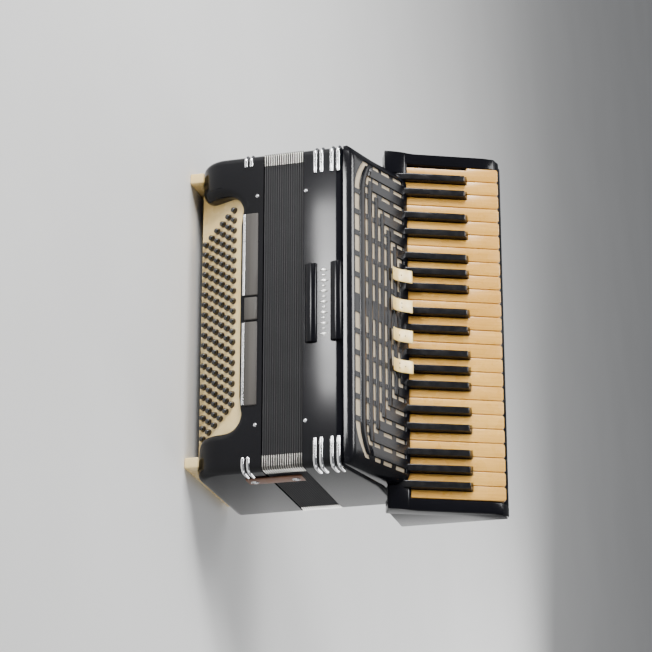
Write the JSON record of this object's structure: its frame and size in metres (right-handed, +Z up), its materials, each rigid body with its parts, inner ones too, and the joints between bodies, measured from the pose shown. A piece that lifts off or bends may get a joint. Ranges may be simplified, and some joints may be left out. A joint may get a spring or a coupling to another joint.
{
  "type": "piano accordion",
  "caption": "Closed piano accordion on its bass feet: piano keyboard, slotted grille with switches, folded bellows and a slanted bass button board.",
  "frame": {"origin": "centre of the closed instrument's footprint, on the surface that its two foot rails rest on", "axes": "+X along the keyboard towards the lowest note, +Y towards the player's side (the bass strap is there), -Y the front, +Z up from the bass end through the bellows to the keyboard's outer edge"},
  "size_m": [0.5146, 0.249, 0.3958],
  "materials": {
    "black_casing": "polished black celluloid over wood, light wear on the edges",
    "ebony_key": "glossy black key tops",
    "cream_key": "aged cream celluloid key tops, semi-gloss",
    "cream_board": "cream celluloid sheet, satin",
    "switch_ivory": "ivory celluloid, semi-gloss",
    "black_button": "turned black buttons, glossy domes",
    "bellows_cloth": "pleated card bellows covered in charcoal cloth",
    "chrome_trim": "polished chrome, fine scratches",
    "reed_block_wood": "plain planed spruce",
    "grey_register_metal": "satin grey",
    "strap_leather": "worn brown leather",
    "grille_cloth": "woven cream grille cloth stretched behind the sound slots",
    "ornament_stone": "faceted clear and white paste stones"
  },
  "bodies": {
    "bass_side": {"bass_casing": "black_casing", "bass_button_board": "cream_board", "bass_end_plate": "black_casing", "bass_strap": "strap_leather", "bellows": "bellows_cloth", "bellows_strap": "strap_leather"},
    "treble_side": {"treble_casing": "black_casing", "treble_grille": "black_casing", "keybed": "black_casing", "key_axle": "chrome_trim", "treble_reed_block": "reed_block_wood"},
    "key_a6": {"key_a6": "cream_key"},
    "key_g_sharp_6": {"key_g_sharp_6": "ebony_key"},
    "key_g6": {"key_g6": "cream_key"},
    "key_f_sharp_6": {"key_f_sharp_6": "ebony_key"},
    "key_f6": {"key_f6": "cream_key"},
    "key_e6": {"key_e6": "cream_key"},
    "key_d_sharp_6": {"key_d_sharp_6": "ebony_key"},
    "key_d6": {"key_d6": "cream_key"},
    "key_c_sharp_6": {"key_c_sharp_6": "ebony_key"},
    "key_c6": {"key_c6": "cream_key"},
    "key_b5": {"key_b5": "cream_key"},
    "key_a_sharp_5": {"key_a_sharp_5": "ebony_key"},
    "key_a5": {"key_a5": "cream_key"},
    "key_g_sharp_5": {"key_g_sharp_5": "ebony_key"},
    "key_g5": {"key_g5": "cream_key"},
    "key_f_sharp_5": {"key_f_sharp_5": "ebony_key"},
    "key_f5": {"key_f5": "cream_key"},
    "key_e5": {"key_e5": "cream_key"},
    "key_d_sharp_5": {"key_d_sharp_5": "ebony_key"},
    "key_d5": {"key_d5": "cream_key"},
    "key_c_sharp_5": {"key_c_sharp_5": "ebony_key"},
    "key_c5": {"key_c5": "cream_key"},
    "key_b4": {"key_b4": "cream_key"},
    "key_a_sharp_4": {"key_a_sharp_4": "ebony_key"},
    "key_a4": {"key_a4": "cream_key"},
    "key_g_sharp_4": {"key_g_sharp_4": "ebony_key"},
    "key_g4": {"key_g4": "cream_key"},
    "key_f_sharp_4": {"key_f_sharp_4": "ebony_key"},
    "key_f4": {"key_f4": "cream_key"},
    "key_e4": {"key_e4": "cream_key"},
    "key_d_sharp_4": {"key_d_sharp_4": "ebony_key"},
    "key_d4": {"key_d4": "cream_key"},
    "key_c_sharp_4": {"key_c_sharp_4": "ebony_key"},
    "key_c4": {"key_c4": "cream_key"},
    "key_b3": {"key_b3": "cream_key"},
    "key_a_sharp_3": {"key_a_sharp_3": "ebony_key"},
    "key_a3": {"key_a3": "cream_key"},
    "key_g_sharp_3": {"key_g_sharp_3": "ebony_key"},
    "key_g3": {"key_g3": "cream_key"},
    "key_f_sharp_3": {"key_f_sharp_3": "ebony_key"},
    "key_f3": {"key_f3": "cream_key"},
    "register_switch_1": {"register_switch_1": "switch_ivory"},
    "register_switch_2": {"register_switch_2": "switch_ivory"},
    "register_switch_3": {"register_switch_3": "switch_ivory"},
    "register_switch_4": {"register_switch_4": "switch_ivory"},
    "bass_buttons": {"bass_buttons": "black_button"},
    "chord_buttons": {"chord_buttons": "black_button"},
    "air_button": {"air_button": "cream_board"},
    "bass_register_bar": {"bass_register_bar": "grey_register_metal"}
  },
  "joints": [
    {"name": "bellows_opening", "type": "slide", "parent": "bass_side", "child": "treble_side", "axis": [0, 0, 1], "range_m": [0, 0.35], "deforming": ["bellows"]},
    {"name": "key_a6_press", "type": "hinge", "parent": "treble_side", "child": "key_a6", "pos_m": [0, 0.0067, 0.24917], "axis": [-1, 0, 0], "range_deg": [0, 2], "stiffness_Nm_per_rad": 0.6, "springref_deg": -8.59},
    {"name": "key_g_sharp_6_press", "type": "hinge", "parent": "treble_side", "child": "key_g_sharp_6", "pos_m": [0, 0.0067, 0.24917], "axis": [-1, 0, 0], "range_deg": [0, 2], "stiffness_Nm_per_rad": 0.6, "springref_deg": -8.59},
    {"name": "key_g6_press", "type": "hinge", "parent": "treble_side", "child": "key_g6", "pos_m": [0, 0.0067, 0.24917], "axis": [-1, 0, 0], "range_deg": [0, 2], "stiffness_Nm_per_rad": 0.6, "springref_deg": -8.59},
    {"name": "key_f_sharp_6_press", "type": "hinge", "parent": "treble_side", "child": "key_f_sharp_6", "pos_m": [0, 0.0067, 0.24917], "axis": [-1, 0, 0], "range_deg": [0, 2], "stiffness_Nm_per_rad": 0.6, "springref_deg": -8.59},
    {"name": "key_f6_press", "type": "hinge", "parent": "treble_side", "child": "key_f6", "pos_m": [0, 0.0067, 0.24917], "axis": [-1, 0, 0], "range_deg": [0, 2], "stiffness_Nm_per_rad": 0.6, "springref_deg": -8.59},
    {"name": "key_e6_press", "type": "hinge", "parent": "treble_side", "child": "key_e6", "pos_m": [0, 0.0067, 0.24917], "axis": [-1, 0, 0], "range_deg": [0, 2], "stiffness_Nm_per_rad": 0.6, "springref_deg": -8.59},
    {"name": "key_d_sharp_6_press", "type": "hinge", "parent": "treble_side", "child": "key_d_sharp_6", "pos_m": [0, 0.0067, 0.24917], "axis": [-1, 0, 0], "range_deg": [0, 2], "stiffness_Nm_per_rad": 0.6, "springref_deg": -8.59},
    {"name": "key_d6_press", "type": "hinge", "parent": "treble_side", "child": "key_d6", "pos_m": [0, 0.0067, 0.24917], "axis": [-1, 0, 0], "range_deg": [0, 2], "stiffness_Nm_per_rad": 0.6, "springref_deg": -8.59},
    {"name": "key_c_sharp_6_press", "type": "hinge", "parent": "treble_side", "child": "key_c_sharp_6", "pos_m": [0, 0.0067, 0.24917], "axis": [-1, 0, 0], "range_deg": [0, 2], "stiffness_Nm_per_rad": 0.6, "springref_deg": -8.59},
    {"name": "key_c6_press", "type": "hinge", "parent": "treble_side", "child": "key_c6", "pos_m": [0, 0.0067, 0.24917], "axis": [-1, 0, 0], "range_deg": [0, 2], "stiffness_Nm_per_rad": 0.6, "springref_deg": -8.59},
    {"name": "key_b5_press", "type": "hinge", "parent": "treble_side", "child": "key_b5", "pos_m": [0, 0.0067, 0.24917], "axis": [-1, 0, 0], "range_deg": [0, 2], "stiffness_Nm_per_rad": 0.6, "springref_deg": -8.59},
    {"name": "key_a_sharp_5_press", "type": "hinge", "parent": "treble_side", "child": "key_a_sharp_5", "pos_m": [0, 0.0067, 0.24917], "axis": [-1, 0, 0], "range_deg": [0, 2], "stiffness_Nm_per_rad": 0.6, "springref_deg": -8.59},
    {"name": "key_a5_press", "type": "hinge", "parent": "treble_side", "child": "key_a5", "pos_m": [0, 0.0067, 0.24917], "axis": [-1, 0, 0], "range_deg": [0, 2], "stiffness_Nm_per_rad": 0.6, "springref_deg": -8.59},
    {"name": "key_g_sharp_5_press", "type": "hinge", "parent": "treble_side", "child": "key_g_sharp_5", "pos_m": [0, 0.0067, 0.24917], "axis": [-1, 0, 0], "range_deg": [0, 2], "stiffness_Nm_per_rad": 0.6, "springref_deg": -8.59},
    {"name": "key_g5_press", "type": "hinge", "parent": "treble_side", "child": "key_g5", "pos_m": [0, 0.0067, 0.24917], "axis": [-1, 0, 0], "range_deg": [0, 2], "stiffness_Nm_per_rad": 0.6, "springref_deg": -8.59},
    {"name": "key_f_sharp_5_press", "type": "hinge", "parent": "treble_side", "child": "key_f_sharp_5", "pos_m": [0, 0.0067, 0.24917], "axis": [-1, 0, 0], "range_deg": [0, 2], "stiffness_Nm_per_rad": 0.6, "springref_deg": -8.59},
    {"name": "key_f5_press", "type": "hinge", "parent": "treble_side", "child": "key_f5", "pos_m": [0, 0.0067, 0.24917], "axis": [-1, 0, 0], "range_deg": [0, 2], "stiffness_Nm_per_rad": 0.6, "springref_deg": -8.59},
    {"name": "key_e5_press", "type": "hinge", "parent": "treble_side", "child": "key_e5", "pos_m": [0, 0.0067, 0.24917], "axis": [-1, 0, 0], "range_deg": [0, 2], "stiffness_Nm_per_rad": 0.6, "springref_deg": -8.59},
    {"name": "key_d_sharp_5_press", "type": "hinge", "parent": "treble_side", "child": "key_d_sharp_5", "pos_m": [0, 0.0067, 0.24917], "axis": [-1, 0, 0], "range_deg": [0, 2], "stiffness_Nm_per_rad": 0.6, "springref_deg": -8.59},
    {"name": "key_d5_press", "type": "hinge", "parent": "treble_side", "child": "key_d5", "pos_m": [0, 0.0067, 0.24917], "axis": [-1, 0, 0], "range_deg": [0, 2], "stiffness_Nm_per_rad": 0.6, "springref_deg": -8.59},
    {"name": "key_c_sharp_5_press", "type": "hinge", "parent": "treble_side", "child": "key_c_sharp_5", "pos_m": [0, 0.0067, 0.24917], "axis": [-1, 0, 0], "range_deg": [0, 2], "stiffness_Nm_per_rad": 0.6, "springref_deg": -8.59},
    {"name": "key_c5_press", "type": "hinge", "parent": "treble_side", "child": "key_c5", "pos_m": [0, 0.0067, 0.24917], "axis": [-1, 0, 0], "range_deg": [0, 2], "stiffness_Nm_per_rad": 0.6, "springref_deg": -8.59},
    {"name": "key_b4_press", "type": "hinge", "parent": "treble_side", "child": "key_b4", "pos_m": [0, 0.0067, 0.24917], "axis": [-1, 0, 0], "range_deg": [0, 2], "stiffness_Nm_per_rad": 0.6, "springref_deg": -8.59},
    {"name": "key_a_sharp_4_press", "type": "hinge", "parent": "treble_side", "child": "key_a_sharp_4", "pos_m": [0, 0.0067, 0.24917], "axis": [-1, 0, 0], "range_deg": [0, 2], "stiffness_Nm_per_rad": 0.6, "springref_deg": -8.59},
    {"name": "key_a4_press", "type": "hinge", "parent": "treble_side", "child": "key_a4", "pos_m": [0, 0.0067, 0.24917], "axis": [-1, 0, 0], "range_deg": [0, 2], "stiffness_Nm_per_rad": 0.6, "springref_deg": -8.59},
    {"name": "key_g_sharp_4_press", "type": "hinge", "parent": "treble_side", "child": "key_g_sharp_4", "pos_m": [0, 0.0067, 0.24917], "axis": [-1, 0, 0], "range_deg": [0, 2], "stiffness_Nm_per_rad": 0.6, "springref_deg": -8.59},
    {"name": "key_g4_press", "type": "hinge", "parent": "treble_side", "child": "key_g4", "pos_m": [0, 0.0067, 0.24917], "axis": [-1, 0, 0], "range_deg": [0, 2], "stiffness_Nm_per_rad": 0.6, "springref_deg": -8.59},
    {"name": "key_f_sharp_4_press", "type": "hinge", "parent": "treble_side", "child": "key_f_sharp_4", "pos_m": [0, 0.0067, 0.24917], "axis": [-1, 0, 0], "range_deg": [0, 2], "stiffness_Nm_per_rad": 0.6, "springref_deg": -8.59},
    {"name": "key_f4_press", "type": "hinge", "parent": "treble_side", "child": "key_f4", "pos_m": [0, 0.0067, 0.24917], "axis": [-1, 0, 0], "range_deg": [0, 2], "stiffness_Nm_per_rad": 0.6, "springref_deg": -8.59},
    {"name": "key_e4_press", "type": "hinge", "parent": "treble_side", "child": "key_e4", "pos_m": [0, 0.0067, 0.24917], "axis": [-1, 0, 0], "range_deg": [0, 2], "stiffness_Nm_per_rad": 0.6, "springref_deg": -8.59},
    {"name": "key_d_sharp_4_press", "type": "hinge", "parent": "treble_side", "child": "key_d_sharp_4", "pos_m": [0, 0.0067, 0.24917], "axis": [-1, 0, 0], "range_deg": [0, 2], "stiffness_Nm_per_rad": 0.6, "springref_deg": -8.59},
    {"name": "key_d4_press", "type": "hinge", "parent": "treble_side", "child": "key_d4", "pos_m": [0, 0.0067, 0.24917], "axis": [-1, 0, 0], "range_deg": [0, 2], "stiffness_Nm_per_rad": 0.6, "springref_deg": -8.59},
    {"name": "key_c_sharp_4_press", "type": "hinge", "parent": "treble_side", "child": "key_c_sharp_4", "pos_m": [0, 0.0067, 0.24917], "axis": [-1, 0, 0], "range_deg": [0, 2], "stiffness_Nm_per_rad": 0.6, "springref_deg": -8.59},
    {"name": "key_c4_press", "type": "hinge", "parent": "treble_side", "child": "key_c4", "pos_m": [0, 0.0067, 0.24917], "axis": [-1, 0, 0], "range_deg": [0, 2], "stiffness_Nm_per_rad": 0.6, "springref_deg": -8.59},
    {"name": "key_b3_press", "type": "hinge", "parent": "treble_side", "child": "key_b3", "pos_m": [0, 0.0067, 0.24917], "axis": [-1, 0, 0], "range_deg": [0, 2], "stiffness_Nm_per_rad": 0.6, "springref_deg": -8.59},
    {"name": "key_a_sharp_3_press", "type": "hinge", "parent": "treble_side", "child": "key_a_sharp_3", "pos_m": [0, 0.0067, 0.24917], "axis": [-1, 0, 0], "range_deg": [0, 2], "stiffness_Nm_per_rad": 0.6, "springref_deg": -8.59},
    {"name": "key_a3_press", "type": "hinge", "parent": "treble_side", "child": "key_a3", "pos_m": [0, 0.0067, 0.24917], "axis": [-1, 0, 0], "range_deg": [0, 2], "stiffness_Nm_per_rad": 0.6, "springref_deg": -8.59},
    {"name": "key_g_sharp_3_press", "type": "hinge", "parent": "treble_side", "child": "key_g_sharp_3", "pos_m": [0, 0.0067, 0.24917], "axis": [-1, 0, 0], "range_deg": [0, 2], "stiffness_Nm_per_rad": 0.6, "springref_deg": -8.59},
    {"name": "key_g3_press", "type": "hinge", "parent": "treble_side", "child": "key_g3", "pos_m": [0, 0.0067, 0.24917], "axis": [-1, 0, 0], "range_deg": [0, 2], "stiffness_Nm_per_rad": 0.6, "springref_deg": -8.59},
    {"name": "key_f_sharp_3_press", "type": "hinge", "parent": "treble_side", "child": "key_f_sharp_3", "pos_m": [0, 0.0067, 0.24917], "axis": [-1, 0, 0], "range_deg": [0, 2], "stiffness_Nm_per_rad": 0.6, "springref_deg": -8.59},
    {"name": "key_f3_press", "type": "hinge", "parent": "treble_side", "child": "key_f3", "pos_m": [0, 0.0067, 0.24917], "axis": [-1, 0, 0], "range_deg": [0, 2], "stiffness_Nm_per_rad": 0.6, "springref_deg": -8.59},
    {"name": "register_switch_1_rock", "type": "hinge", "parent": "treble_side", "child": "register_switch_1", "pos_m": [0, -0.038, 0.2665], "axis": [-1, 0, 0], "range_deg": [0, 6], "stiffness_Nm_per_rad": 0.3, "springref_deg": -8.59},
    {"name": "register_switch_2_rock", "type": "hinge", "parent": "treble_side", "child": "register_switch_2", "pos_m": [0, -0.038, 0.2665], "axis": [-1, 0, 0], "range_deg": [0, 6], "stiffness_Nm_per_rad": 0.3, "springref_deg": -8.59},
    {"name": "register_switch_3_rock", "type": "hinge", "parent": "treble_side", "child": "register_switch_3", "pos_m": [0, -0.038, 0.2665], "axis": [-1, 0, 0], "range_deg": [0, 6], "stiffness_Nm_per_rad": 0.3, "springref_deg": -8.59},
    {"name": "register_switch_4_rock", "type": "hinge", "parent": "treble_side", "child": "register_switch_4", "pos_m": [0, -0.038, 0.2665], "axis": [-1, 0, 0], "range_deg": [0, 6], "stiffness_Nm_per_rad": 0.3, "springref_deg": -8.59},
    {"name": "bass_buttons_press", "type": "slide", "parent": "bass_side", "child": "bass_buttons", "axis": [0, 0.907, 0.421], "range_m": [0, 0.004], "stiffness_N_per_m": 400, "springref_m": -0.01},
    {"name": "chord_buttons_press", "type": "slide", "parent": "bass_side", "child": "chord_buttons", "axis": [0, 0.907, 0.421], "range_m": [0, 0.004], "stiffness_N_per_m": 400, "springref_m": -0.01},
    {"name": "air_button_press", "type": "slide", "parent": "bass_side", "child": "air_button", "axis": [0, 0, 1], "range_m": [0, 0.004], "stiffness_N_per_m": 300, "springref_m": -0.006},
    {"name": "bass_register_bar_press", "type": "slide", "parent": "bass_side", "child": "bass_register_bar", "axis": [0, 1, 0], "range_m": [0, 0.0025], "stiffness_N_per_m": 300, "springref_m": -0.006}
  ]
}
